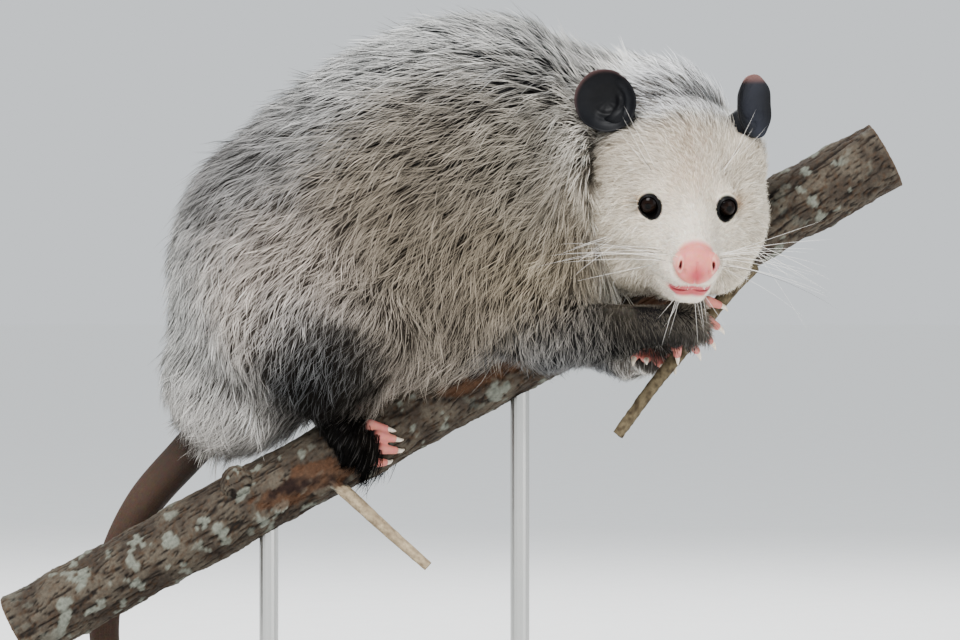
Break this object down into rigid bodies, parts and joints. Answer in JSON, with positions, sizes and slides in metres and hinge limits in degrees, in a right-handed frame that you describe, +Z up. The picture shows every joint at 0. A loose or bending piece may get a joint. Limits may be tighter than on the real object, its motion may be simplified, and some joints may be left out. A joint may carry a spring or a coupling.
{
  "type": "opossum model",
  "caption": "Life-size Virginia opossum crouching on a cut length of branch, held over a flat display base by upright rods.",
  "frame": {"origin": "middle of the base plate's underside, where the model meets what it stands on", "axes": "+X along the animal from rump to head and up the branch's climb, +Y away from the side that its face looks to, +Z up"},
  "size_m": [0.4734, 0.2207, 0.4201],
  "materials": {
    "grey_coat": "long grizzled guard hair over soft underfur",
    "white_coat": "short cream-white face fur",
    "pink_skin": "bare moist pink skin",
    "ear_leather": "thin bare blue-black skin",
    "dark_eye": "wet dark glass eye",
    "paw_skin": "dark haired paw with bare pink digits and pale claws",
    "tail_skin": "scaly tail skin with sparse hair",
    "bark": "rough grey bark with brown stripped patches",
    "base_wood": "black lacquered wood",
    "rod_steel": "satin steel rod"
  },
  "bodies": {
    "root": {"neck": "grey_coat", "torso": "grey_coat", "hind_leg_right": "grey_coat", "hind_leg_left": "grey_coat", "foreleg_right": "grey_coat", "foreleg_left": "grey_coat", "head": "white_coat", "nose": "pink_skin", "ear_right": "ear_leather", "ear_left": "ear_leather", "eye_right": "dark_eye", "eye_left": "dark_eye", "hand_right": "paw_skin", "hand_left": "paw_skin", "foot_right": "paw_skin", "foot_left": "paw_skin", "tail_base": "tail_skin", "tail_middle": "tail_skin", "tail_tip": "tail_skin", "perch_branch": "bark", "perch_twig": "bark", "stand_base": "base_wood", "stand_rod_1": "rod_steel", "stand_rod_2": "rod_steel"}
  },
  "joints": []
}
